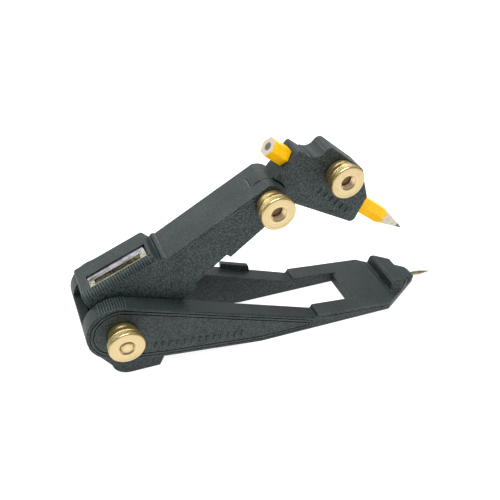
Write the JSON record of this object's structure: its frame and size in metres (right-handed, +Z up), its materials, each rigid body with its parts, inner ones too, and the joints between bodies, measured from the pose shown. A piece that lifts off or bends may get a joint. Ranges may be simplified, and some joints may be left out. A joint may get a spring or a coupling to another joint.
{
  "type": "scribing tool",
  "caption": "Hinged two-arm scribing tool with a needle point, a swivelling clamp for a pencil, brass thumb nuts and a pencil sharpener in the arm's root.",
  "frame": {"origin": "on the bench, in the middle of the flat of the heel", "axes": "+X along the lower arm towards the needle, +Y across the tool away from the thumb nuts, +Z up from the bench"},
  "size_m": [0.1664, 0.0432, 0.0864],
  "materials": {
    "moulded_plastic": "fine leather grain",
    "brass": "turned",
    "needle_steel": "ground",
    "cast_alloy": "die cast",
    "blade_steel": "ground",
    "nylon": "satin",
    "pencil_wood": "yellow lacquer over bare wood at both ends",
    "graphite": "satin grey"
  },
  "bodies": {
    "base": {"lower_arm": "moulded_plastic", "needle": "needle_steel", "pivot_bolt": "brass", "pivot_washer_front": "nylon", "pivot_washer_back": "nylon"},
    "pivot_thumb_nut": {"pivot_nut": "brass"},
    "arm": {"upper_arm": "moulded_plastic", "sharpener_insert": "cast_alloy", "sharpener_blade": "blade_steel", "blade_screw": "blade_steel", "holder_bolt": "brass"},
    "holder_thumb_nut": {"holder_nut": "brass"},
    "holder": {"pencil_holder": "moulded_plastic", "clamp_bolt": "brass"},
    "clamp_thumb_nut": {"clamp_nut": "brass"},
    "pencil": {"pencil_casing": "pencil_wood", "pencil_lead": "graphite"}
  },
  "joints": [
    {"name": "arm_hinge", "type": "hinge", "parent": "base", "child": "arm", "pos_m": [-0.00845, 0, 0.0224], "axis": [0, -1, 0], "range_deg": [-5, 24]},
    {"name": "holder_hinge", "type": "hinge", "parent": "arm", "child": "holder", "pos_m": [0.05285, 0, 0.06439], "axis": [0, -1, 0], "range_deg": [-4, 60]},
    {"name": "pencil_slide", "type": "slide", "parent": "holder", "child": "pencil", "axis": [0.7966, 0, -0.6045], "range_m": [-0.012, 0.008]},
    {"name": "pivot_nut_turn", "type": "hinge", "parent": "base", "child": "pivot_thumb_nut", "pos_m": [-0.00845, 0, 0.0224], "axis": [0, -1, 0], "continuous": true},
    {"name": "holder_nut_turn", "type": "hinge", "parent": "arm", "child": "holder_thumb_nut", "pos_m": [0.05285, 0, 0.06439], "axis": [0, -1, 0], "continuous": true},
    {"name": "clamp_nut_turn", "type": "hinge", "parent": "holder", "child": "clamp_thumb_nut", "pos_m": [0.08297, 0, 0.07034], "axis": [0, -1, 0], "continuous": true}
  ]
}
